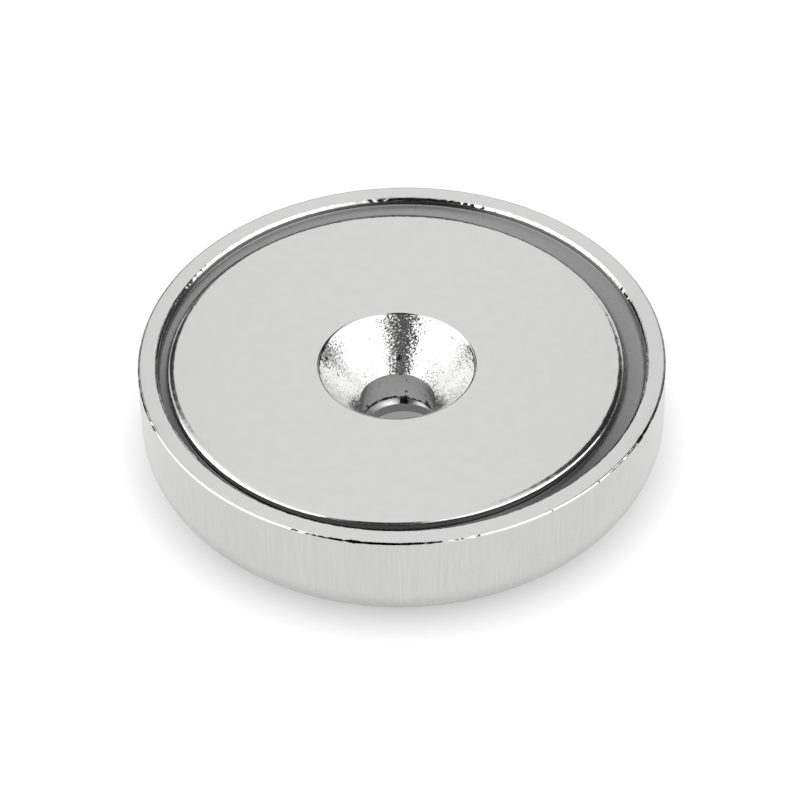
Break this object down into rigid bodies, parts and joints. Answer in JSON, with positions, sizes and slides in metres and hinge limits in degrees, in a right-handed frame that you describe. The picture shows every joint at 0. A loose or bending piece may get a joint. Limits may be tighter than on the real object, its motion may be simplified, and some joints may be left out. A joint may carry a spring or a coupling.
{
  "type": "countersunk pot magnet",
  "caption": "Round pot magnet: a shallow plated steel pot that holds a ring magnet with a countersunk screw hole; the rim grips steel.",
  "frame": {"origin": "centre of the pot's flat back, on the surface it stands on", "axes": "+Z along the pot's axis, from the back to the magnet's face; +X to the right and +Y away from the viewer"},
  "size_m": [0.042, 0.042, 0.0091],
  "materials": {
    "pot_nickel": "bright nickel plate with a fine satin",
    "magnet_nickel": "bright nickel plate, grainy in the countersink",
    "resin": "cast grey resin"
  },
  "bodies": {
    "root": {"steel_pot": "pot_nickel", "ring_magnet": "magnet_nickel", "resin_fill": "resin"}
  },
  "joints": []
}
